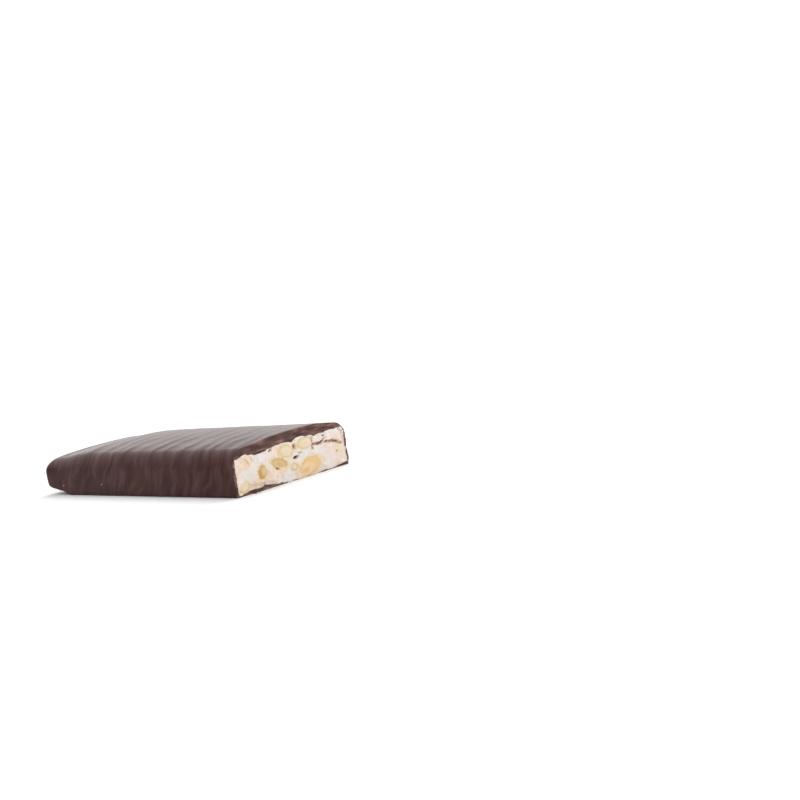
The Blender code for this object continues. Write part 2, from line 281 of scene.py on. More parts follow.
def add_node(
    tree: bpy.types.NodeTree,
    kind: str,
    inputs: dict[str | int, object] | None = None,
    settings: dict[str, object] | None = None,
) -> bpy.types.Node:
    """Adds a node with its settings and links.

    Args:
        tree: The node tree.
        kind: The node's type name.
        inputs: A value or a socket for each input, by name or number.
        settings: The node's own settings. "stops" gives a colour ramp's (place, hex colour) rows.

    Returns:
        The new node.
    """
    node = tree.nodes.new(kind)
    for name, value in (settings or {}).items():
        if name == "stops":
            elements = node.color_ramp.elements
            while len(elements) < len(value):
                elements.new(0.5)
            for element, (place, colour) in zip(elements, value):
                element.position = place
                element.color = linear(colour)
        else:
            setattr(node, name, value)
    for name, value in (inputs or {}).items():
        if isinstance(value, bpy.types.NodeSocket):
            tree.links.new(value, node.inputs[name])
        else:
            node.inputs[name].default_value = value
    return node


def new_material(
    name: str, constants: dict[str, object]
) -> tuple[bpy.types.Material, bpy.types.NodeTree, bpy.types.Node]:
    """Starts a material with a bare Principled shader.

    Args:
        name: What the material is.
        constants: The shader's values that are the same all over the surface.

    Returns:
        The material, its node tree and its shader.
    """
    material = bpy.data.materials.new(name)
    material.use_nodes = True
    tree = material.node_tree
    shader = tree.nodes["Principled BSDF"]
    for socket, value in constants.items():
        shader.inputs[socket].default_value = value
    return material, tree, shader


@dataclass(frozen=True)
class DarkChocolate:
    """Tempered dark chocolate, poured over the bar and set under moving air.

    Its hazy wisp pattern, part bloom and part painted reflection streaks, and its fine streaks follow the
    mesh's own values:
    flow counts across the ripples, and reach along them, from the near shoulder: negative down the near side,
    positive over the top.
    """

    name: str = "dark chocolate, enrobed"
    tones: Stops = ((0.34, "392422"), (0.5, "49302e"), (0.72, "5c4543"))
    warm_colour: str = "4b3228"
    warm_edge: Point = (0.55, 0.72)
    warm_share: float = 0.6
    roughness: Point = (0.21, 0.29)
    ior: float = 1.12
    mottle_mm: float = 11.0
    warp_mm: float = 8.0
    grain_mm: float = 0.35
    wisp_mm: float = 2.6
    streak_mm: float = 0.9
    wisp_draw: float = 0.07
    side_draw: float = 0.21
    streak_draw: float = 0.06
    stray_reach: Point = (0.0, 8.0)
    stray: Point = (7.0, 2.5)
    wisp_reach: Point = (-2.0, 6.0)
    # Share of the wisp pattern: part bloom, part painted reflection streaks drawn down the near side.
    bloom_and_sheen_share: Point = (0.65, 0.55)
    far_reach: Point = (30.0, 44.0)
    far_calm: Point = (1.0, 0.35)
    streak_strength: float = 0.6
    streak_depth_mm: float = 0.14
    grain_strength: float = 0.12
    grain_depth_mm: float = 0.05

    def build(self) -> bpy.types.Material:
        """Makes the material: a soft satin with faint hazy wisp tones, part bloom and part painted reflection
        streaks, and fine streaks along the ripples.
        """
        material, tree, shader = new_material(self.name, {"IOR": self.ior})
        place = add_node(tree, "ShaderNodeTexCoord").outputs["Object"]
        flow, reach = [
            add_node(tree, "ShaderNodeAttribute", settings={"attribute_name": channel.value}).outputs["Fac"]
            for channel in (Channel.FLOW, Channel.REACH)
        ]
        mottle, warp, grain = [
            add_node(
                tree, "ShaderNodeTexNoise", {"Vector": place, "Scale": 1 / (size * MM), "Detail": detail}
            ).outputs["Fac"]
            for size, detail in ((self.mottle_mm, 3.0), (self.warp_mm, 1.0), (self.grain_mm, 2.0))
        ]
        stray, bloom_and_sheen_share, calm = [
            add_node(
                tree,
                "ShaderNodeMapRange",
                {"Value": reach, "From Min": start, "From Max": end, "To Min": before, "To Max": after},
            ).outputs["Result"]
            for (start, end), (before, after) in (
                (self.stray_reach, self.stray),
                (self.wisp_reach, self.bloom_and_sheen_share),
                (self.far_reach, self.far_calm),
            )
        ]
        strayed = add_node(
            tree, "ShaderNodeMath", {0: warp, 1: stray, 2: flow}, {"operation": "MULTIPLY_ADD"}
        ).outputs[0]
        on_side = add_node(tree, "ShaderNodeMath", {0: reach, 1: 0.0}, {"operation": "MINIMUM"}).outputs[0]
        side_run = add_node(
            tree, "ShaderNodeMath", {0: on_side, 1: self.side_draw}, {"operation": "MULTIPLY"}
        ).outputs[0]
        wisp_run = add_node(
            tree, "ShaderNodeMath", {0: reach, 1: self.wisp_draw, 2: side_run}, {"operation": "MULTIPLY_ADD"}
        ).outputs[0]
        streak_run = add_node(
            tree, "ShaderNodeMath", {0: reach, 1: self.streak_draw}, {"operation": "MULTIPLY"}
        ).outputs[0]
        wisp_place = add_node(tree, "ShaderNodeCombineXYZ", {"X": strayed, "Y": wisp_run}).outputs[0]
        streak_place = add_node(tree, "ShaderNodeCombineXYZ", {"X": flow, "Y": streak_run}).outputs[0]
        wisp, streak = [
            add_node(
                tree, "ShaderNodeTexNoise", {"Vector": spot, "Scale": 1 / size, "Detail": detail}
            ).outputs["Fac"]
            for spot, size, detail in ((wisp_place, self.wisp_mm, 1.0), (streak_place, self.streak_mm, 3.0))
        ]
        # Painted reflection streaks, partly bloom: the wisp pattern takes over from the mottle near the
        # shoulder and down the near side.
        share = add_node(tree, "ShaderNodeMath", {0: bloom_and_sheen_share, 1: calm}, {"operation": "MULTIPLY"}).outputs[0]
        tone = add_node(tree, "ShaderNodeMix", {0: share, 2: mottle, 3: wisp}).outputs[0]
        colour = add_node(tree, "ShaderNodeValToRGB", {"Fac": tone}, {"stops": self.tones}).outputs["Color"]
        warmth = add_node(
            tree,
            "ShaderNodeMapRange",
            {
                "Value": warp,
                "From Min": self.warm_edge[0],
                "From Max": self.warm_edge[1],
                "To Max": self.warm_share,
            },
        ).outputs["Result"]
        tinted = add_node(
            tree, "ShaderNodeMix", {0: warmth, 6: colour, 7: linear(self.warm_colour)}, {"data_type": "RGBA"}
        ).outputs[2]
        gloss = add_node(
            tree,
            "ShaderNodeMapRange",
            {"Value": streak, "To Min": self.roughness[0], "To Max": self.roughness[1]},
        ).outputs["Result"]
        streaked = add_node(
            tree,
            "ShaderNodeBump",
            {"Strength": self.streak_strength, "Distance": self.streak_depth_mm * MM, "Height": streak},
        ).outputs["Normal"]
        normal = add_node(
            tree,
            "ShaderNodeBump",
            {
                "Strength": self.grain_strength,
                "Distance": self.grain_depth_mm * MM,
                "Height": grain,
                "Normal": streaked,
            },
        ).outputs["Normal"]
        tree.links.new(tinted, shader.inputs["Base Color"])
        tree.links.new(gloss, shader.inputs["Roughness"])
        tree.links.new(normal, shader.inputs["Normal"])
        return material


@dataclass(frozen=True)
class BrokenChocolate:
    """The same chocolate where it broke: dull and grainy, and paler in streaks, partly for its fine splinter
    faces and partly as painted highlights.
    """

    name: str = "dark chocolate, broken"
    # The palest tone is partly a painted highlight on the broken band, partly the paleness of splinter faces.
    tones: Stops = ((0.38, "3f2520"), (0.5, "5b3a31"), (0.6, "784f43"), (0.7, "96766a"))
    roughness: float = 0.62
    ior: float = 1.46
    splinter_mm: float = 1.0
    splinter_stretch: float = 5.0
    splinter_strength: float = 0.6
    splinter_depth_mm: float = 0.3
    grain_mm: float = 0.25
    grain_strength: float = 0.5
    grain_depth_mm: float = 0.1

    def build(self) -> bpy.types.Material:
        """Makes the material: matt, with paler streaks drawn out along the edge, part splinter faces and part
        painted highlights.
        """
        material, tree, shader = new_material(self.name, {"Roughness": self.roughness, "IOR": self.ior})
        place = add_node(tree, "ShaderNodeTexCoord").outputs["Object"]
        drawn = add_node(
            tree,
            "ShaderNodeVectorMath",
            {0: place, 1: (1.0, 1.0 / self.splinter_stretch, 1.0)},
            {"operation": "MULTIPLY"},
        ).outputs[0]
        splinters_and_highlights, grain = [
            add_node(
                tree, "ShaderNodeTexNoise", {"Vector": spot, "Scale": 1 / (size * MM), "Detail": detail}
            ).outputs["Fac"]
            for spot, size, detail in ((drawn, self.splinter_mm, 5.0), (place, self.grain_mm, 3.0))
        ]
        # Painted highlights, partly real splinter paleness: the pale end of the tones follows the splinter
        # noise.
        colour = add_node(
            tree, "ShaderNodeValToRGB", {"Fac": splinters_and_highlights}, {"stops": self.tones}
        ).outputs["Color"]
        coarse = add_node(
            tree,
            "ShaderNodeBump",
            {
                "Strength": self.splinter_strength,
                "Distance": self.splinter_depth_mm * MM,
                "Height": splinters_and_highlights,
            },
        ).outputs["Normal"]
        normal = add_node(
            tree,
            "ShaderNodeBump",
            {
                "Strength": self.grain_strength,
                "Distance": self.grain_depth_mm * MM,
                "Height": grain,
                "Normal": coarse,
            },
        ).outputs["Normal"]
        tree.links.new(colour, shader.inputs["Base Color"])
        tree.links.new(normal, shader.inputs["Normal"])
        return material


@dataclass(frozen=True)
class SoftNougat:
    """Soft nougat, whipped with egg white and torn when the bar was cut: pale, matt and a little clear.

    The mesh's own values colour it: depth turns its holes and cracks brown as painted shade, and stain
    colours it round the almonds.
    """

    name: str = "soft nougat, torn"
    tones: Stops = ((0.36, "e7d1ba"), (0.5, "ebdfd6"), (0.64, "f1e8e1"))
    hues: Stops = ((0.4, "e8e2de"), (0.48, "ebdfd6"), (0.57, "eed2c0"), (0.65, "ead3aa"))
    hue_share: float = 0.65
    stain_colour: str = "e6cc9b"
    # Painted shade: the brown that darkens holes and cracks, by their depth.
    hollow_shade_colour: str = "a06a52"
    hollow_shade_edge: Point = (0.35, 1.1)
    roughness: float = 0.6
    ior: float = 1.45
    mottle_mm: float = 3.5
    hue_mm: float = 5.0
    grain_mm: float = 0.45
    grain_strength: float = 0.6
    grain_depth_mm: float = 0.12
    scatter: float = 0.5
    scatter_mm: float = 0.6
    scatter_reach: Place = (1.0, 0.75, 0.55)

    def build(self) -> bpy.types.Material:
        """Makes the material: mottled cream, with painted shade that turns its hollows brown, and light under
        its skin.
        """
        constants = {
            "Roughness": self.roughness,
            "IOR": self.ior,
            "Subsurface Weight": self.scatter,
            "Subsurface Radius": self.scatter_reach,
            "Subsurface Scale": self.scatter_mm * MM,
        }
        material, tree, shader = new_material(self.name, constants)
        place = add_node(tree, "ShaderNodeTexCoord").outputs["Object"]
        depth, stain = [
            add_node(tree, "ShaderNodeAttribute", settings={"attribute_name": channel.value}).outputs["Fac"]
            for channel in (Channel.DEPTH, Channel.STAIN)
        ]
        mottle, drift, grain = [
            add_node(
                tree, "ShaderNodeTexNoise", {"Vector": place, "Scale": 1 / (size * MM), "Detail": detail}
            ).outputs["Fac"]
            for size, detail in ((self.mottle_mm, 5.0), (self.hue_mm, 3.0), (self.grain_mm, 4.0))
        ]
        shade, hue = [
            add_node(tree, "ShaderNodeValToRGB", {"Fac": fac}, {"stops": stops}).outputs["Color"]
            for fac, stops in ((mottle, self.tones), (drift, self.hues))
        ]
        oiled = add_node(tree, "ShaderNodeMath", {0: stain, 1: mottle}, {"operation": "MULTIPLY"}).outputs[0]
        # Painted shade: holes and cracks turn brown by their depth.
        hollow_shade = add_node(
            tree,
            "ShaderNodeMapRange",
            {"Value": depth, "From Min": self.hollow_shade_edge[0], "From Max": self.hollow_shade_edge[1]},
            {"interpolation_type": "SMOOTHSTEP"},
        ).outputs["Result"]
        colour = shade
        for share, over in (
            (self.hue_share, hue),
            (oiled, linear(self.stain_colour)),
            (hollow_shade, linear(self.hollow_shade_colour)),
        ):
            colour = add_node(
                tree, "ShaderNodeMix", {0: share, 6: colour, 7: over}, {"data_type": "RGBA"}
            ).outputs[2]
        normal = add_node(
            tree,
            "ShaderNodeBump",
            {"Strength": self.grain_strength, "Distance": self.grain_depth_mm * MM, "Height": grain},
        ).outputs["Normal"]
        tree.links.new(colour, shader.inputs["Base Color"])
        tree.links.new(normal, shader.inputs["Normal"])
        return material


@dataclass(frozen=True)
class BlanchedAlmond:
    """Almond with its skin off, roasted a little and cut: waxy, darker at its core and rim."""

    name: str
    flesh_colour: str
    core_colour: str
    rim_colour: str
    roughness: float = 0.48
    ior: float = 1.47
    fibre_mm: float = 0.5
    fibre_share: float = 0.35
    fibre_strength: float = 0.3
    fibre_depth_mm: float = 0.08
    scatter: float = 0.35
    scatter_mm: float = 0.4
    scatter_reach: Place = (1.0, 0.7, 0.4)

    def build(self) -> bpy.types.Material:
        """Makes the material: from core to rim by the mesh's own values, with fine fibres."""
        constants = {
            "Roughness": self.roughness,
            "IOR": self.ior,
            "Subsurface Weight": self.scatter,
            "Subsurface Radius": self.scatter_reach,
            "Subsurface Scale": self.scatter_mm * MM,
        }
        material, tree, shader = new_material(self.name, constants)
        place = add_node(tree, "ShaderNodeTexCoord").outputs["Object"]
        core = add_node(
            tree, "ShaderNodeAttribute", settings={"attribute_name": Channel.CORE.value}
        ).outputs["Fac"]
        fibres = add_node(
            tree, "ShaderNodeTexNoise", {"Vector": place, "Scale": 1 / (self.fibre_mm * MM), "Detail": 4.0}
        ).outputs["Fac"]
        tone = add_node(
            tree, "ShaderNodeMath", {0: fibres, 1: self.fibre_share, 2: core}, {"operation": "MULTIPLY_ADD"}
        ).outputs[0]
        tones = ((0.2, self.core_colour), (0.62, self.flesh_colour), (0.98, self.rim_colour))
        colour = add_node(tree, "ShaderNodeValToRGB", {"Fac": tone}, {"stops": tones}).outputs["Color"]
        normal = add_node(
            tree,
            "ShaderNodeBump",
            {"Strength": self.fibre_strength, "Distance": self.fibre_depth_mm * MM, "Height": fibres},
        ).outputs["Normal"]
        tree.links.new(colour, shader.inputs["Base Color"])
        tree.links.new(normal, shader.inputs["Normal"])
        return material


class AlmondTone(Enum):
    """The shades that the cut almonds have."""

    PEACH = BlanchedAlmond("blanched almond, peach core", "eccfa5", "e1ad7a", "e7c28a")
    OLIVE = BlanchedAlmond("blanched almond, golden", "d9bc88", "dfc89c", "caa260")
    CREAM = BlanchedAlmond("blanched almond, cream", "e9dabf", "e6d0ac", "e4cfa9")
    HONEY = BlanchedAlmond("blanched almond, honey", "dcbd8c", "ceaa76", "d6b680")


@dataclass(frozen=True)
class Ripples:
    """Waves that moving air left in the coating before it set, and the finer ones between them."""

    # Where each large ripple crosses the near shoulder, from the cut, and its strength.
    crossings: tuple[Point, ...] = (
        (-17.0, 0.7),
        (-11.0, 0.8),
        (-5.5, 0.7),
        (0.2, 0.8),
        (5.9, 0.9),
        (11.6, 1.0),
        (17.0, 0.8),
        (24.0, 1.1),
        (32.0, 1.0),
        (38.0, 1.1),
        (45.0, 0.8),
        (52.0, 0.9),
        (57.5, 0.7),
        (64.0, 0.9),
        (72.0, 0.8),
        (80.0, 0.4),
        (88.0, 0.2),
    )
    front_width: float = 1.3
    back_width: float = 2.1
    height: float = 0.17
    level: float = 0.35
    back_loss: float = 0.75
    loss_start: float = -16.0
    loss_end: float = 8.0
    side_share: float = 0.3
    lean_top: float = 0.42
    lean_side: float = 0.5
    # Above the base, the ripples on the sides start at foot and are whole at full.
    foot: float = 0.5
    full: float = 4.0
    swell_height: float = 0.12
    swell_size: float = 17.0
    fine_height: float = 0.04
    fine_spacing: float = 2.1
    fine_run: float = 16.0
    wander: float = 1.5
    wander_size: float = 11.0
    wander_run: float = 6.0
    uneven: float = 0.45
    uneven_run: float = 9.0

    def flow(self, form: "BarForm", along: float, y: float, z: float) -> Point:
        """Follows the ripple through a point to the near shoulder.

        Args:
            form: The bar's form.
            along: Distance from the closed end.
            y: Place across the bar.
            z: Place above the base.

        Returns:
            Where the ripple crosses the near shoulder, from the cut, and how far along it the point is.
        """
        across = y + form.width / 2
        lean = self.lean_top * across * (1.0 - 0.5 * across / form.width)
        drop = max(0.0, form.edge_height - form.near_shoulder / 2 - z)
        run = across - drop
        spot = Vector((along / self.wander_size, run / self.wander_run, Pattern.RIPPLE_WANDER))
        stray = self.wander * noise.noise(spot)
        return form.length - along - lean - self.lean_side * drop + stray, run

    def relief(self, form: "BarForm", along: float, y: float, z: float) -> float:
        """Height of all the ripples at a point of the coating.

        Args:
            form: The bar's form.
            along: Distance from the closed end.
            y: Place across the bar.
            z: Place above the base.

        Returns:
            The height, negative in the troughs.
        """
        place, run = self.flow(form, along, y, z)
        height = 0.0
        for crossing, strength in self.crossings:
            away = place - crossing
            width = self.back_width if away > 0 else self.front_width
            if abs(away) < 3.0 * width:
                spot = Vector((crossing, run / self.uneven_run, Pattern.RIPPLE_STRENGTH))
                uneven = 1.0 + self.uneven * noise.noise(spot)
                height += strength * uneven * math.exp(-((away / width) ** 2))
        spot = Vector((place / self.fine_spacing, run / self.fine_run, Pattern.FINE_RIPPLES))
        fine = noise.fractal(spot, 1.0, 2.0, 2)
        swell = noise.noise(Vector((along, y, z)) / self.swell_size)
        on_side = self.side_share * smooth_step(self.foot, self.full, z)
        shoulder = form.edge_height - form.near_shoulder
        on_top = (1.0 - self.side_share) * smooth_step(shoulder, form.edge_height, z)
        kept = 1.0 - self.back_loss * smooth_step(self.loss_start, self.loss_end, y)
        waves = kept * (self.height * (height - self.level) + self.fine_height * fine)
        return (on_side + on_top) * (waves + self.swell_height * swell)


@dataclass(frozen=True)
class BarForm:
    """Form of the half bar, outside and inside, as its solids have it."""

    length: float = 96.0
    width: float = 46.0
    # The top: its crown across the bar, its droops beside both edges, and its rise and dip along the bar.
    edge_height: float = 12.6
    crown: float = 2.0
    crown_peak_y: float = 9.0
    crown_power: float = 2.0
    near_droop_depth: float = 0.9
    near_droop_run: float = 9.0
    near_droop_fade: float = 12.0
    far_droop: float = 1.0
    far_droop_start: float = 10.0
    side_draft: float = 0.3
    top_rise: float = 0.45
    top_rise_start: float = 22.0
    end_dip: float = 1.35
    end_dip_start: float = 3.0
    end_dip_stop: float = 22.0
    # The rounded edges.
    near_shoulder: float = 4.2
    far_shoulder: float = 3.4
    base_edge: float = 0.8
    # The closed end: its corners, its rounding above and below, its swell and its raised underside.
    end_near_corner: float = 2.5
    end_far_corner: float = 7.1
    end_top_fall: float = 5.4
    end_top_run: float = 2.1
    end_base_rise: float = 3.0
    end_base_run: float = 7.2
    end_bulge: float = 0.7
    end_bulge_run: float = 12.0
    end_bulge_z: float = 7.4
    end_bulge_reach: float = 6.0
    end_underside: tuple[Point, ...] = ((0.0, 1.9), (5.5, 1.7), (10.3, 0.9), (11.6, 0.2), (13.0, 0.0))
    # The chocolate's walls, and the nougat inside them, with its uneven edge.
    top_wall: float = 3.0
    near_wall: float = 0.9
    far_wall: float = 0.8
    base_wall: float = 0.6
    end_wall: float = 2.0
    nougat_near_corner: float = 0.4
    nougat_far_corner: float = 1.4
    nougat_base_corner: float = 0.6
    nougat_end_fall: float = 2.6
    nougat_end_rise: float = 1.6
    nougat_end_run: float = 3.5
    nougat_top_blend: float = 0.35
    ragged: float = 0.28
    ragged_size: float = 2.2
    ragged_across: float = 0.5
    ragged_up: float = 0.4
    ragged_up_top: float = 0.6
    nougat_top: tuple[Point, ...] = (
        (-23.0, 9.8),
        (-20.7, 10.3),
        (-18.7, 10.9),
        (-16.5, 10.5),
        (-14.4, 10.1),
        (-12.4, 10.5),
        (-9.4, 10.7),
        (-6.9, 11.2),
        (-3.4, 11.4),
        (0.0, 10.9),
        (1.6, 11.7),
        (4.2, 12.0),
        (7.0, 11.5),
        (9.6, 11.2),
        (13.4, 11.5),
        (16.6, 11.7),
        (21.3, 11.7),
        (23.0, 11.4),
    )
    nougat_base_blend: float = 3.0
    nougat_base: tuple[Point, ...] = (
        (-23.0, 0.45),
        (-21.0, 0.6),
        (-19.2, 0.85),
        (-17.9, 1.25),
        (-16.0, 1.05),
        (-13.7, 1.0),
        (-12.3, 1.4),
        (-10.5, 1.0),
        (-8.4, 0.75),
        (-3.6, 0.4),
        (2.5, 0.2),
        (9.0, 0.2),
        (11.2, 0.3),
        (16.5, 0.45),
        (19.0, 0.85),
        (22.0, 1.15),
    )
    ripples: Ripples = Ripples()

    @property
    def cut_x(self) -> float:
        """Place of the cut."""
        return self.length / 2

    def crown_height(self, y: float) -> float:
        """Height of the crowned top, which droops towards the far side."""
        reach = self.width / 2 + self.crown_peak_y
        crown = self.crown * (1.0 - abs((y - self.crown_peak_y) / reach) ** self.crown_power)
        droop = self.far_droop * smooth_step(self.far_droop_start, self.width / 2, y)
        return self.edge_height + crown - droop

    def near_droop(self, along: float, y: float) -> float:
        """How far the top bends down beside the near edge. At the cut it doesn't."""
        inward = max(0.0, 1.0 - (y + self.width / 2) / self.near_droop_run)
        start = self.length - self.near_droop_fade
        return self.near_droop_depth * inward**2 * (1.0 - smooth_step(start, self.length, along))

    def top_level(self, along: float) -> float:
        """How much higher the top is, at a distance from the closed end, than at the cut."""
        rise = self.top_rise * (1.0 - smooth_step(self.top_rise_start, self.length, along))
        return rise - self.end_dip * (1.0 - smooth_step(self.end_dip_start, self.end_dip_stop, along))

    def bulge(self, along: float, z: float) -> float:
        """How far the sides swell beside the closed end."""
        swell = max(0.0, 1.0 - ((z - self.end_bulge_z) / self.end_bulge_reach) ** 2)
        return self.end_bulge * swell * (1.0 - smooth_step(0.0, self.end_bulge_run, along))

    def base_height(self, along: float) -> float:
        """Height of the underside at a distance from the closed end."""
        return interpolate(self.end_underside, along)

    def outside(self, along: float, counts: Sequence[int]) -> list[Point]:
        """Outline of the coating, ripples and all.

        Args:
            along: Distance from the closed end.
            counts: Points along the base, the top, each upright and each corner.

        Returns:
            The points, each (y, z).
        """
        near = -self.width / 2 + rounding(along, self.end_near_corner, self.end_near_corner)
        far = self.width / 2 - rounding(along, self.end_far_corner, self.end_far_corner)
        fall = rounding(along, self.end_top_run, self.end_top_fall) - self.top_level(along)
        rise = self.base_height(along) + rounding(along, self.end_base_run, self.end_base_rise)
        radii = (self.base_edge, self.far_shoulder, self.near_shoulder)
        flat = rounded_outline((near, far, 0.0, self.edge_height), radii, counts)
        found = []
        for index, (y, z) in enumerate(flat):
            before = flat[index - 1]
            after = flat[(index + 1) % len(flat)]
            out = Vector((after[1] - before[1], before[0] - after[0])).normalized()
            share = z / self.edge_height
            y *= 1.0 - self.side_draft / self.width * share
            top = self.crown_height(y) - self.near_droop(along, y)
            z += share * (top - self.edge_height - fall) + (1.0 - share) * rise
            push = self.ripples.relief(self, along, y, z) + self.bulge(along, z) * abs(out.x)
            found.append((y + push * out.x, z + push * out.y))
        return found

    def inside(self, grow: float, counts: Sequence[int]) -> list[Point]:
        """Outline of the nougat at the cut, with its uneven edge.

        Args:
            grow: How far to move the outline out.
            counts: Points along the base, the top, each upright and each corner.

        Returns:
            The points, each (y, z).
        """
        near = -self.width / 2 + self.near_wall - grow
        far = self.width / 2 - self.far_wall + grow
        low = self.base_wall - grow
        high = self.edge_height - self.top_wall + grow
        radii = (self.nougat_base_corner, self.nougat_far_corner, self.nougat_near_corner)
        found = []
        for y, z in rounded_outline((near, far, low, high), radii, counts):
            lifted = smooth_step(self.nougat_top_blend * high, high, z)
            lowered = 1.0 - smooth_step(low, low + self.nougat_base_blend, z)
            z += lifted * (interpolate(self.nougat_top, y) + grow - high)
            z += lowered * (interpolate(self.nougat_base, y) - self.base_wall)
            ragged = self.ragged * lumps(y, z, self.ragged_size, Pattern.NOUGAT_EDGE)
            up = self.ragged_up + self.ragged_up_top * lifted
            found.append((y + self.ragged_across * ragged, z + up * ragged))
        return found


@dataclass
class Coating:
    """The chocolate round the nougat: its rippled outside, and its broken edge at the cut."""

    form: BarForm
    counts: tuple[int, int, int, int] = (80, 104, 22, 10)
    station_spacing: float = 0.55
    end_steps: int = 26
    rim_rings: int = 14
    return_depth: float = 3.0
    set_back: float = 0.3
    slope: float = 0.2
    slope_start: float = 10.8
    crag: float = 0.3
    crag_size: float = 1.7
    crag_stretch: float = 2.5
    chip: float = 0.14
    chip_size: float = 0.7
    chip_stretch: float = 2.0
    most_proud: float = 0.25
    break_from: float = 0.8
    end_insets: tuple[float, ...] = (0.15, 0.3, 0.45)
    end_doming: float = 0.06
    end_middle: float = 0.14
    end_flow: float = 96.0
    end_middle_flow: float = 99.0

    def stations(self) -> list[float]:
        """Distances from the closed end: close together round the end's rounded edge, then even."""
        corner = self.form.end_far_corner
        turns = [math.pi / 2 * step / self.end_steps for step in range(self.end_steps)]
        found = [corner * (1.0 - math.cos(turn)) for turn in turns]
        count = round((self.form.length - corner) / self.station_spacing)
        found += [corner + (self.form.length - corner) * step / count for step in range(count + 1)]
        return found

    def break_depth(self, y: float, z: float) -> float:
        """How far the broken edge lies behind the cut."""
        rough = self.crag * lumps(y / self.crag_stretch, z, self.crag_size, Pattern.CRAGS)
        rough += self.chip * lumps(y / self.chip_stretch, z, self.chip_size, Pattern.CHIPS)
        return self.set_back + self.slope * max(0.0, z - self.slope_start) + max(-self.most_proud, rough)

    def build_outside(self, material: bpy.types.Material) -> bpy.types.Object:
        """Builds the rippled outside, closed at the far end and open at the cut.

        Args:
            material: The set chocolate.

        Returns:
            The outside, which stands for the coating's solid.
        """
        draft = MeshDraft()
        form = self.form
        stations = self.stations()
        outlines = [form.outside(along, self.counts) for along in stations]
        backs = [self.break_depth(y, z) for y, z in outlines[-1]]
        rings = []
        for along, outline in zip(stations, outlines):
            share = smooth_step(self.break_from * form.length, form.length, along)
            ring = []
            for (y, z), back in zip(outline, backs):
                flow, reach = form.ripples.flow(form, along, y, z)
                x = along - form.length / 2 - share * back
                ring.append(draft.add_point(x, y, z, flow=flow, reach=reach))
            rings.append(ring)
        for first, second in zip(rings, rings[1:]):
            draft.join_rings(first, second)
        self.close_end(draft, rings[0])
        outside = draft.finish("chocolate_outside", material)
        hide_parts("chocolate_coating")
        return outside

    def close_end(self, draft: MeshDraft, ring: list[int]) -> None:
        """Fills the closed end with rings that draw in to its middle.

        Args:
            draft: The mesh so far.
            ring: The end's outline.
        """
        corners = [draft.points[index] for index in ring]
        x = corners[0][0]
        middle_y = (min(y for _, y, _ in corners) + max(y for _, y, _ in corners)) / 2
        middle_z = (min(z for _, _, z in corners) + max(z for _, _, z in corners)) / 2
        half_y = max(y for _, y, _ in corners) - middle_y
        half_z = max(z for _, _, z in corners) - middle_z
        before = ring
        for inset in self.end_insets:
            drawn = []
            for _, y, z in corners:
                place_y = middle_y + (y - middle_y) * (1.0 - inset / half_y)
                place_z = middle_z + (z - middle_z) * (1.0 - inset / half_z)
                place_x = x - self.end_doming * inset
                drawn.append(
                    draft.add_point(place_x, place_y, place_z, flow=self.end_flow + inset, reach=place_z)
                )
            draft.join_rings(before, drawn)
            before = drawn
        middle = draft.add_point(
            x - self.end_middle, middle_y, middle_z, flow=self.end_middle_flow, reach=0.0
        )
        draft.close_ring(before, middle)

    def build_break(self, material: bpy.types.Material) -> bpy.types.Object:
        """Builds the broken edge: a rough band from the outside in to the nougat, then back along it.

        Args:
            material: The broken chocolate.

        Returns:
            The broken edge.
        """
        draft = MeshDraft()
        form = self.form
        outer = form.outside(form.length, self.counts)
        inner = form.inside(0.0, self.counts)
        before: list[int] = []
        for step in range(self.rim_rings + 1):
            share = step / self.rim_rings
            ring = []
            for (oy, oz), (iy, iz) in zip(outer, inner):
                y = oy + share * (iy - oy)
                z = oz + share * (iz - oz)
                x = form.cut_x - self.break_depth(y, z)
                ring.append(draft.add_point(x, y, z))
            if before:
                draft.join_rings(before, ring)
            before = ring
        back = [draft.add_point(form.cut_x - self.return_depth, y, z) for y, z in inner]
        draft.join_rings(before, back)
        edge = draft.finish("chocolate_break", material)
        return edge


@dataclass(frozen=True)
class Hollow:
    """A hole in the torn nougat."""

    y: float
    z: float
    half_y: float
    half_z: float
    depth: float
    turn_degrees: float = 0.0
    furthest: float = 2.0
    ragged: float = 0.25
    ragged_size: float = 0.9
    edge: Point = (0.35, 1.15)

    def share(self, y: float, z: float) -> float:
        """How much of its full depth the hole has at a point."""
        across, upright = turned(y - self.y, z - self.z, -self.turn_degrees)
        away = math.hypot(across / self.half_y, upright / self.half_z)
        if away > self.furthest:
            return 0.0
        away += self.ragged * lumps(y, z, self.ragged_size, Pattern.HOLLOWS, 2)
        return 1.0 - smooth_step(*self.edge, away)


@dataclass(frozen=True)
class Crack:
    """A crack in the torn nougat."""

    path: tuple[Point, ...]
    half_width: float
    depth: float
    furthest: float = 2.5
    ragged: float = 0.45
    ragged_size: float = 1.0
    edge: Point = (0.2, 1.2)

    def share(self, y: float, z: float) -> float:
        """How much of its full depth the crack has at a point."""
        away = distance_to_path(y, z, self.path) / self.half_width
        if away > self.furthest:
            return 0.0
        away += self.ragged * lumps(y, z, self.ragged_size, Pattern.CRACKS, 2)
        return 1.0 - smooth_step(*self.edge, away)


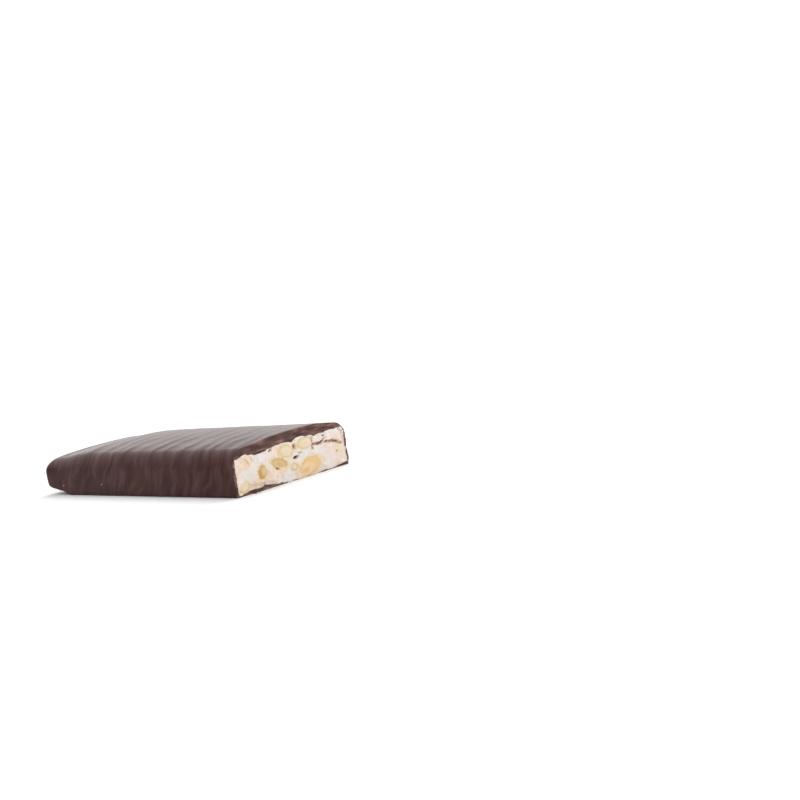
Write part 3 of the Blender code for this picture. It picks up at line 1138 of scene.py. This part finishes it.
@dataclass(frozen=True)
class Crumbled:
    """A strip where the nougat tore into crumbs, with small pits close together."""

    path: tuple[Point, ...]
    half_width: float
    depth: float
    pit_size: float = 0.6
    stretch: float = 2.2
    cover: float = -0.2
    pit_wall: float = 0.45
    furthest: float = 2.0
    ragged: float = 0.3
    ragged_size: float = 1.6
    edge: Point = (0.5, 1.5)

    def share(self, y: float, z: float) -> float:
        """How much of its full depth the strip has at a point."""
        away = distance_to_path(y, z, self.path) / self.half_width
        if away > self.furthest:
            return 0.0
        away += self.ragged * lumps(y, z, self.ragged_size, Pattern.STRIPS, 2)
        pits = lumps(y / self.stretch, z, self.pit_size, Pattern.PITS)
        pitted = smooth_step(self.cover, self.cover + self.pit_wall, pits)
        return (0.5 + 0.5 * pitted) * (1.0 - smooth_step(*self.edge, away))


@dataclass(frozen=True)
class AlmondPlace:
    """An almond at the cut: its face, and how it lies behind it."""

    node: str
    tone: AlmondTone
    y: float
    z: float
    half_width: float
    half_height: float
    turn_degrees: float
    half_length: float
    behind: float
    run_y: float
    run_z: float
    proud: float
    core_shift: Point = (0.0, 0.0)
    broad_waves: float = 1.1
    broad_swing: float = 0.18
    fine_waves: float = 3.2
    fine_swing: float = 0.09

    def face_radius(self, angle: float) -> float:
        """How far the face's edge lies from its middle, as a share of the plain ellipse."""
        way = Vector((math.cos(angle), math.sin(angle), 0.0))
        broad = noise.noise(way * self.broad_waves + Vector((0.0, 0.0, self.y)))
        fine = noise.noise(way * self.fine_waves + Vector((0.0, 0.0, self.z)))
        return 1.0 + self.broad_swing * broad + self.fine_swing * fine

    def to_bar(self, across: float, upright: float) -> Point:
        """Turns a point of the face into the bar's (y, z)."""
        y, z = turned(across, upright, self.turn_degrees)
        return self.y + y, self.z + z

    def away(self, y: float, z: float) -> float:
        """Distance of a point from the face's middle: 1 is the face's edge."""
        across, upright = turned(y - self.y, z - self.z, -self.turn_degrees)
        turn = math.atan2(upright / self.half_height, across / self.half_width)
        plain = math.hypot(across / self.half_width, upright / self.half_height)
        return plain / self.face_radius(turn)


@dataclass
class Nougat:
    """The torn face of the nougat, and the rest of it inside the coating."""

    form: BarForm
    almonds: tuple[AlmondPlace, ...]
    columns: int = 400
    rows: int = 96
    outline_counts: tuple[int, int, int, int] = (60, 90, 16, 8)
    grow: float = 0.12
    behind_face: float = 3.0
    back_stops: tuple[float, ...] = (12.0, 7.0, 2.5, 0.0)
    lump: float = 0.34
    lump_lift: float = 0.6
    lump_size: float = 4.2
    tear: float = 0.2
    tear_size: float = 1.3
    grit: float = 0.035
    grit_size: float = 0.4
    # Each hole's y, z, half width, half height, depth and turn.
    hollows: tuple[Hollow, ...] = (
        Hollow(0.8, 9.7, 0.75, 1.0, 1.3, 15.0),
        Hollow(0.8, 6.5, 1.25, 0.5, 1.7, 8.0),
        Hollow(-6.6, 4.9, 0.85, 0.6, 0.95, -30.0),
        Hollow(-8.8, 10.4, 0.75, 0.35, 1.4, 20.0),
        Hollow(2.5, 7.5, 0.9, 0.5, 0.65),
        Hollow(18.3, 5.0, 0.35, 0.3, 0.7),
        Hollow(21.4, 10.7, 0.4, 0.35, 0.9),
    )
    # Each crack's path, half width and depth.
    cracks: tuple[Crack, ...] = (
        Crack(((8.5, 10.8), (8.2, 9.4), (8.1, 7.7)), 0.42, 1.6),
        Crack(((9.1, 9.0), (11.2, 8.6), (12.6, 9.3), (14.2, 9.9)), 0.24, 0.9),
        Crack(((-18.6, 9.9), (-17.7, 8.9), (-16.9, 7.6)), 0.14, 0.6),
        Crack(((-16.4, 10.0), (-16.1, 9.4), (-15.7, 8.8)), 0.14, 0.6),
    )
    # Each strip's path, half width and depth, and its pits' size, stretch and cover.
    crumbled: tuple[Crumbled, ...] = (
        Crumbled(((9.0, 8.85), (11.0, 8.6), (12.8, 8.9), (15.2, 8.4), (17.6, 8.3), (20.6, 7.2)), 0.5, 1.05),
        Crumbled(((20.4, 11.0), (21.2, 9.6), (21.3, 8.2)), 0.7, 0.7, 0.8, 1.0, 0.05),
        Crumbled(((-21.5, 1.4), (-17.5, 2.0), (-13.0, 1.7), (-9.5, 1.4)), 0.5, 0.6, 0.8, 1.5, 0.1),
    )
    almond_reach: float = 1.35
    socket_depth: float = 0.9
    socket_edge: Point = (0.78, 0.98)
    groove: float = 0.03
    groove_place: float = 1.02
    groove_width: float = 0.07
    stain_edge: Point = (0.85, 1.6)
    stain_most: float = 1.5
    stain_ragged: float = 0.3
    stain_size: float = 3.0

    def side_points(self, count: int, corners: tuple[int, int], outline: list[Point]) -> list[Point]:
        """Evenly spaced points along one side of the outline.

        Args:
            count: How many points.
            corners: The outline's indices where the side starts and ends.
            outline: The whole outline.

        Returns:
            The side's points, from its start to its end.
        """
        start, end = corners
        stretch = outline[start:end + 1] if end > start else outline[start:] + outline[:end + 1]
        places = [0.0]
        for (ay, az), (by, bz) in zip(stretch, stretch[1:]):
            places.append(places[-1] + math.hypot(by - ay, bz - az))
        rows_y = [(place, y) for place, (y, _) in zip(places, stretch)]
        rows_z = [(place, z) for place, (_, z) in zip(places, stretch)]
        steps = [places[-1] * step / (count - 1) for step in range(count)]
        return [(interpolate(rows_y, step), interpolate(rows_z, step)) for step in steps]

    def face_places(self) -> list[list[Point]]:
        """Places (y, z) of the face's points, row by row, blended in from the four sides of its outline."""
        below, above, upright, corner = self.outline_counts
        outline = self.form.inside(self.grow, self.outline_counts)
        half = corner // 2
        far_low = below + half
        far_high = below + corner + upright + half
        near_high = far_high + above + corner
        near_low = near_high + upright + corner
        base = self.side_points(self.columns, (near_low, far_low), outline)
        far = self.side_points(self.rows, (far_low, far_high), outline)
        top = self.side_points(self.columns, (far_high, near_high), outline)[::-1]
        near = self.side_points(self.rows, (near_high, near_low), outline)[::-1]
        grid = []
        for row in range(self.rows):
            v = row / (self.rows - 1)
            line = []
            for column in range(self.columns):
                u = column / (self.columns - 1)
                place = []
                for axis in (0, 1):
                    edges = (1 - v) * base[column][axis] + v * top[column][axis]
                    edges += (1 - u) * near[row][axis] + u * far[row][axis]
                    corners = (1 - u) * (1 - v) * base[0][axis] + u * (1 - v) * base[-1][axis]
                    corners += (1 - u) * v * top[0][axis] + u * v * top[-1][axis]
                    place.append(edges - corners)
                line.append((place[0], place[1]))
            grid.append(line)
        return grid

    def tear_depth(self, y: float, z: float) -> Point:
        """Depth of the torn face behind the cut.

        Args:
            y: Place across the bar.
            z: Place above the base.

        Returns:
            The depth, and the part of it that comes from holes and cracks.
        """
        depth = self.lump * (self.lump_lift + lumps(y, z, self.lump_size, Pattern.LUMPS, 2))
        depth += self.tear * lumps(y, z, self.tear_size, Pattern.TEARS)
        depth += self.grit * lumps(y, z, self.grit_size, Pattern.GRIT, 2)
        opened = 0.0
        for gap in (*self.hollows, *self.cracks, *self.crumbled):
            opened = max(opened, gap.depth * gap.share(y, z))
        for almond in self.almonds:
            away = almond.away(y, z)
            if away < self.almond_reach:
                inside = 1.0 - smooth_step(*self.socket_edge, away)
                edge = math.exp(-(((away - self.groove_place) / self.groove_width) ** 2))
                depth += self.socket_depth * inside + self.groove * edge
        return max(0.0, depth) + opened, opened

    def stain(self, y: float, z: float) -> float:
        """How strongly the almonds' oil colours the nougat at a point."""
        nearest = min(almond.away(y, z) for almond in self.almonds)
        nearest += self.stain_ragged * lumps(y, z, self.stain_size, Pattern.STAINS, 2)
        return self.stain_most * (1.0 - smooth_step(*self.stain_edge, nearest))

    def build(self, material: bpy.types.Material) -> bpy.types.Object:
        """Builds the torn face and the nougat behind it.

        Args:
            material: The nougat.

        Returns:
            The nougat, which stands for its solid.
        """
        draft = MeshDraft()
        form = self.form
        rows = []
        for line in self.face_places():
            row = []
            for y, z in line:
                depth, opened = self.tear_depth(y, z)
                # The depth of holes and cracks also sets the painted shade that browns them.
                row.append(draft.add_point(form.cut_x - depth, y, z, depth=opened, stain=self.stain(y, z)))
            rows.append(row)
        draft.join_rows(rows)
        edge = rows[0][:-1]
        edge += [row[-1] for row in rows[:-1]]
        edge += rows[-1][:0:-1]
        edge += [row[0] for row in rows[:0:-1]]
        self.build_inside(draft, edge)
        nougat = draft.finish("torn_nougat", material)
        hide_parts("nougat_filling")
        return nougat

    def build_inside(self, draft: MeshDraft, edge: list[int]) -> None:
        """Runs the nougat back from the face's edge to the closed end.

        Args:
            draft: The mesh so far.
            edge: The ring of points round the face.
        """
        form = self.form
        outline = [draft.points[index] for index in edge]
        start = -form.length / 2 + form.end_wall
        before = edge
        for x in (form.cut_x - self.behind_face, 0.0, *(start + stop for stop in self.back_stops)):
            from_end = x - start
            corner = form.end_far_corner - form.end_wall
            narrow = rounding(from_end, corner, corner) / (form.width / 2)
            fall = rounding(from_end, form.nougat_end_run, form.nougat_end_fall)
            rise = form.base_height(x + form.length / 2)
            rise += rounding(from_end, form.nougat_end_run, form.nougat_end_rise)
            ring = []
            for _, y, z in outline:
                share = min(1.0, max(0.0, z / form.edge_height))
                along = x + form.length / 2
                level = share * (form.top_level(along) - form.near_droop(along, y))
                lifted = z + level - share * fall + (1.0 - share) * rise
                ring.append(draft.add_point(x, y * (1.0 - narrow), lifted, depth=0.0, stain=0.0))
            draft.join_rings(before, ring)
            before = ring
        draft.close_ring(before, draft.add_point(start, 0.0, form.edge_height / 2, depth=0.0, stain=0.0))


@dataclass
class AlmondPiece:
    """One almond: its cut face, and its body back into the nougat."""

    form: BarForm
    place: AlmondPlace
    spokes: int = 72
    face_rings: int = 16
    body_rings: int = 12
    set_back: float = 0.35
    face_lump: float = 0.12
    lump_size: float = 2.6
    face_fibre: float = 0.04
    fibre_size: float = 0.5
    doming: float = 0.12
    rim_fall: float = 0.16
    rim_start: float = 0.8
    core_least: float = 0.1
    core_rise: float = 0.75
    tip: float = 0.2

    def face_height(self, y: float, z: float, share: float) -> float:
        """How far the face stands in front of the almond's own cut, rounded off at its rim."""
        rough = self.face_lump * lumps(y, z, self.lump_size, self.place.y)
        rough += self.face_fibre * lumps(y, z, self.fibre_size, Pattern.FIBRES)
        dome = self.doming * (1.0 - share * share)
        return rough + dome - self.rim_fall * smooth_step(self.rim_start, 1.0, share)

    def core_value(self, share: float, angle: float) -> float:
        """0 at the core and 1 at the rim, with the core shifted to where it shows."""
        across = share * math.cos(angle) - self.place.core_shift[0]
        upright = share * math.sin(angle) - self.place.core_shift[1]
        return min(1.0, self.core_least + self.core_rise * math.hypot(across, upright))

    def build(self, material: bpy.types.Material) -> bpy.types.Object:
        """Builds the almond.

        Args:
            material: The almond's finish.

        Returns:
            The almond, which stands for its solid.
        """
        draft = MeshDraft()
        place = self.place
        front = self.form.cut_x - self.set_back + place.proud
        centre = draft.add_point(front + self.doming, place.y, place.z, core=self.core_value(0.0, 0.0))
        before: list[int] = []
        for step in range(1, self.face_rings + 1):
            share = step / self.face_rings
            ring = []
            for spoke in range(self.spokes):
                angle = 2.0 * math.pi * spoke / self.spokes
                radius = share * place.face_radius(angle)
                y, z = place.to_bar(
                    radius * place.half_width * math.cos(angle), radius * place.half_height * math.sin(angle)
                )
                x = front + self.face_height(y, z, share)
                ring.append(draft.add_point(x, y, z, core=self.core_value(share, angle)))
            if before:
                draft.join_rings(before, ring)
            else:
                draft.close_ring(ring, centre)
            before = ring
        self.build_body(draft, before, front)
        almond = draft.finish(f"almond_piece_{place.node.rsplit('_', 1)[-1]}", material)
        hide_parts(place.node)
        return almond

    def build_body(self, draft: MeshDraft, rim: list[int], front: float) -> None:
        """Runs the almond back into the nougat, to its blunt end.

        Args:
            draft: The mesh so far.
            rim: The ring round the face.
            front: Place of the face along the bar.
        """
        place = self.place
        start = math.acos(place.behind / place.half_length)
        before = rim
        back = 0.0
        for step in range(1, self.body_rings + 1):
            turn = start + (math.pi - start) * step / (self.body_rings + 1)
            swell = math.sin(turn) / math.sin(start)
            back = place.behind - math.cos(turn) * place.half_length
            middle_y = place.y + place.run_y * back
            middle_z = place.z + place.run_z * back
            ring = []
            for index in rim:
                _, y, z = draft.points[index]
                out_y = (y - place.y) * swell
                out_z = (z - place.z) * swell
                ring.append(draft.add_point(front - back, middle_y + out_y, middle_z + out_z, core=1.0))
            draft.join_rings(before, ring)
            before = ring
        tip_y = place.y + place.run_y * back
        tip_z = place.z + place.run_z * back
        draft.close_ring(before, draft.add_point(front - back - self.tip, tip_y, tip_z, core=1.0))


# Node, tone, y, z, half width, half height, turn, half length, behind, run y, run z, proud, core shift.
ALMONDS = (
    AlmondPlace(
        "almond_1", AlmondTone.PEACH, 6.0, 2.9, 4.7, 2.4, 14.0, 9.5, 3.0, 0.15, 0.05, 0.25, (-0.45, -0.15)
    ),
    AlmondPlace(
        "almond_2", AlmondTone.OLIVE, -12.7, 5.1, 2.0, 1.7, 80.0, 8.5, 5.0, -0.1, 0.05, 0.1, (0.1, -0.4)
    ),
    AlmondPlace(
        "almond_3", AlmondTone.CREAM, 4.8, 9.7, 3.0, 1.6, 4.0, 8.0, 2.0, 0.1, 0.0, 0.2, (0.2, 0.1)
    ),
    AlmondPlace(
        "almond_4", AlmondTone.CREAM, -2.9, 8.8, 2.8, 1.6, -8.0, 8.5, 2.0, -0.05, 0.0, 0.15, (0.1, 0.2)
    ),
    AlmondPlace(
        "almond_5", AlmondTone.HONEY, -6.0, 6.2, 3.2, 1.3, -14.0, 8.0, 2.0, -0.1, 0.0, 0.0, (0.0, -0.2)
    ),
    AlmondPlace(
        "almond_6", AlmondTone.CREAM, -19.7, 2.2, 1.8, 1.3, 30.0, 7.5, 2.5, 0.05, 0.1, 0.0, (0.2, 0.2)
    ),
    AlmondPlace(
        "almond_7", AlmondTone.CREAM, -0.4, 3.9, 1.15, 1.05, 0.0, 6.0, 2.0, 0.0, 0.0, 0.0, (0.3, 0.3)
    ),
)


@dataclass(frozen=True)
class CrumbPlace:
    """A crumb: where it lies, how big it is, and how it is turned."""

    x: float
    y: float
    z: float
    size: float
    flatness: float = 0.6
    turn_degrees: float = 0.0


@dataclass
class Crumbs:
    """Crumbs of one stuff that cling to the bar, as one mesh."""

    name: str
    slot: str
    places: tuple[CrumbPlace, ...]
    spokes: int = 12
    rings: int = 8
    uneven: float = 0.45
    waves: float = 1.4

    def build(self, material: bpy.types.Material) -> bpy.types.Object:
        """Builds the crumbs as lumpy, flattened grains.

        Args:
            material: What they are made of.

        Returns:
            All the crumbs as one object.
        """
        draft = MeshDraft()
        for number, crumb in enumerate(self.places):
            layer = Vector((number * 3.0, 0.0, 0.0))
            flat = crumb.size * crumb.flatness
            before: list[int] = []
            for ring_number in range(1, self.rings):
                turn = math.pi * ring_number / self.rings
                ring = []
                for spoke in range(self.spokes):
                    angle = 2.0 * math.pi * spoke / self.spokes + math.radians(crumb.turn_degrees)
                    across = math.sin(turn)
                    way = Vector((across * math.cos(angle), across * math.sin(angle), math.cos(turn)))
                    radius = crumb.size * (1.0 + self.uneven * noise.noise(way * self.waves + layer))
                    x = crumb.x + radius * way.x
                    y = crumb.y + radius * way.y
                    z = crumb.z + radius * way.z * crumb.flatness
                    ring.append(draft.add_point(x, y, z, depth=0.0, stain=0.0))
                if before:
                    draft.join_rings(before, ring)
                else:
                    top = draft.add_point(crumb.x, crumb.y, crumb.z + flat, depth=0.0, stain=0.0)
                    draft.close_ring(ring, top)
                before = ring
            draft.close_ring(before, draft.add_point(crumb.x, crumb.y, crumb.z - flat, depth=0.0, stain=0.0))
        crumbs = draft.finish(self.name, material)
        return crumbs


@dataclass
class Studio:
    """Plain white studio: floor, soft lights and the camera at the photograph's angle."""

    # The camera, fitted to the bar's straight edges in the photograph.
    focal_px: float = 868.87
    image_px: float = 800.0
    sensor: float = 36.0
    eye_from_cut: Place = (180.6, -174.22, 39.49)
    azimuth: float = 38.61
    elevation: float = 4.75
    roll: float = -7.95
    clip: Point = (0.01, 20.0)
    # The floor, and the surround's brightness behind the bar, overhead and elsewhere.
    floor_radius: float = 4000.0
    floor_spokes: int = 96
    floor_colour: str = "e8e8e8"
    floor_roughness: float = 0.9
    floor_specular: float = 0.1
    backdrop_strength: float = 1.45
    backdrop_edge: Point = (-0.3, 0.45)
    ceiling_strength: float = 0.8
    ceiling_edge: Point = (0.55, 0.9)
    room_strength: float = 0.42
    # Each softbox's name, place, side and watts.
    softboxes: tuple[tuple[str, Place, float, float], ...] = (
        ("overhead_softbox", (-60.0, 260.0, 620.0), 500.0, 1.2),
        ("front_softbox", (650.0, -150.0, 420.0), 400.0, 0.7),
    )

    def build_floor(self) -> None:
        """Builds the floor, a wide white disc, as stage."""
        radius = self.floor_radius * MM
        draft = MeshDraft()
        centre = draft.add_point(0.0, 0.0, 0.0)
        turns = [2.0 * math.pi * spoke / self.floor_spokes for spoke in range(self.floor_spokes)]
        ring = [draft.add_point(radius * math.cos(turn), radius * math.sin(turn), 0.0) for turn in turns]
        draft.close_ring(ring, centre)
        mesh = bpy.data.meshes.new("studio_floor")
        mesh.from_pydata(draft.points, [], draft.faces)
        constants = {
            "Base Color": linear(self.floor_colour),
            "Roughness": self.floor_roughness,
            "Specular IOR Level": self.floor_specular,
        }
        material, _, _ = new_material("studio paper, matt white", constants)
        mesh.materials.append(material)
        floor = bpy.data.objects.new("studio_floor", mesh)
        bpy.context.scene.collection.objects.link(floor)

    def build_world(self) -> None:
        """Makes the surround: a white backdrop behind the bar, a bright ceiling and a dimmer room."""
        world = bpy.data.worlds.new("studio surround")
        world.use_nodes = True
        tree = world.node_tree
        azimuth = math.radians(self.azimuth)
        way = add_node(tree, "ShaderNodeTexCoord").outputs["Generated"]
        behind = add_node(
            tree,
            "ShaderNodeVectorMath",
            {0: way, 1: (-math.sin(azimuth), math.cos(azimuth), 0.0)},
            {"operation": "DOT_PRODUCT"},
        ).outputs["Value"]
        backdrop = add_node(
            tree,
            "ShaderNodeMapRange",
            {
                "Value": behind,
                "From Min": self.backdrop_edge[0],
                "From Max": self.backdrop_edge[1],
                "To Min": self.room_strength,
                "To Max": self.backdrop_strength,
            },
            {"interpolation_type": "SMOOTHSTEP"},
        ).outputs["Result"]
        height = add_node(tree, "ShaderNodeSeparateXYZ", {0: way}).outputs["Z"]
        ceiling = add_node(
            tree,
            "ShaderNodeMapRange",
            {
                "Value": height,
                "From Min": self.ceiling_edge[0],
                "From Max": self.ceiling_edge[1],
                "To Max": self.ceiling_strength,
            },
            {"interpolation_type": "SMOOTHSTEP"},
        ).outputs["Result"]
        strength = add_node(
            tree, "ShaderNodeMath", {0: backdrop, 1: ceiling}, {"operation": "ADD"}
        ).outputs[0]
        background = tree.nodes["Background"]
        tree.links.new(strength, background.inputs["Strength"])
        background.inputs["Color"].default_value = (1.0, 1.0, 1.0, 1.0)
        bpy.context.scene.world = world

    def add_softbox(self, name: str, place: Place, size: float, watts: float) -> None:
        """Adds a square softbox that faces the bar.

        Args:
            name: The light's name.
            place: Where it hangs.
            size: Length of its sides.
            watts: Its power.
        """
        light = bpy.data.lights.new(name, "AREA")
        light.shape = "SQUARE"
        light.size = size * MM
        light.energy = watts
        softbox = bpy.data.objects.new(name, light)
        softbox.location = Vector(place) * MM
        softbox.rotation_euler = (-softbox.location).to_track_quat("-Z", "Y").to_euler()
        bpy.context.scene.collection.objects.link(softbox)

    def build_camera(self) -> None:
        """Makes the camera. It is rolled, because the bar in the photograph leans on another one."""
        azimuth = math.radians(self.azimuth)
        elevation = math.radians(self.elevation)
        roll = math.radians(self.roll)
        back = Vector((
            math.sin(azimuth) * math.cos(elevation),
            -math.cos(azimuth) * math.cos(elevation),
            math.sin(elevation),
        ))
        level = Vector((math.cos(azimuth), math.sin(azimuth), 0.0))
        upward = back.cross(level)
        right = math.cos(roll) * level + math.sin(roll) * upward
        up = -math.sin(roll) * level + math.cos(roll) * upward
        camera_data = bpy.data.cameras.new("camera")
        camera_data.sensor_width = self.sensor
        camera_data.lens = self.sensor * self.focal_px / self.image_px
        camera_data.clip_start, camera_data.clip_end = self.clip
        camera = bpy.data.objects.new("camera", camera_data)
        turned = Matrix((right, up, back)).transposed().to_4x4()
        eye = Vector(self.eye_from_cut) + Vector((BarForm.length / 2, 0.0, 0.0))
        camera.matrix_world = Matrix.Translation(eye * MM) @ turned
        bpy.context.scene.collection.objects.link(camera)
        bpy.context.scene.camera = camera

    def build(self) -> None:
        """Builds the whole studio."""
        self.build_floor()
        self.build_world()
        for name, place, size, watts in self.softboxes:
            self.add_softbox(name, place, size, watts)
        self.build_camera()
        bpy.context.scene.view_settings.view_transform = "Standard"


# Each crumb's x, y, z, size, flatness and turn.
CHOCOLATE_CRUMBS = (
    CrumbPlace(48.6, -16.9, 0.5, 0.55, 0.7, 20.0),
    CrumbPlace(48.9, -15.8, 0.35, 0.35, 0.6, 70.0),
    CrumbPlace(48.0, -13.4, 0.7, 0.5, 0.6, 10.0),
    CrumbPlace(48.6, -11.2, 0.5, 0.4, 0.6, 50.0),
    CrumbPlace(48.7, -8.4, 0.45, 0.35, 0.7, 0.0),
    CrumbPlace(48.0, -5.9, 0.4, 0.3, 0.6, 30.0),
    CrumbPlace(48.0, 12.9, 10.7, 0.3, 0.7, 30.0),
)
NOUGAT_CRUMBS = (
    CrumbPlace(48.8, -3.4, 0.35, 0.3, 0.8, 0.0),
    CrumbPlace(48.6, -4.2, 0.3, 0.2, 0.8, 60.0),
    CrumbPlace(-15.5, -22.9, 3.7, 0.17, 0.8, 40.0),
    CrumbPlace(-37.3, -23.1, 3.25, 0.17, 0.8, 80.0),
)


def main() -> None:
    """Builds the bar, then the studio."""
    logging.basicConfig(level=logging.INFO, format="%(name)s: %(message)s")
    form = BarForm()
    broken = BrokenChocolate().build()
    nougat_finish = SoftNougat().build()
    coating = Coating(form)
    coating.build_outside(DarkChocolate().build())
    coating.build_break(broken)
    Nougat(form, ALMONDS).build(nougat_finish)
    tones = {tone: tone.value.build() for tone in AlmondTone}
    for place in ALMONDS:
        AlmondPiece(form, place).build(tones[place.tone])
    Crumbs("chocolate_crumbs", "dark_chocolate", CHOCOLATE_CRUMBS).build(broken)
    Crumbs("nougat_crumbs", "nougat", NOUGAT_CRUMBS).build(nougat_finish)
    Studio().build()


if __name__ == "__main__":
    main()
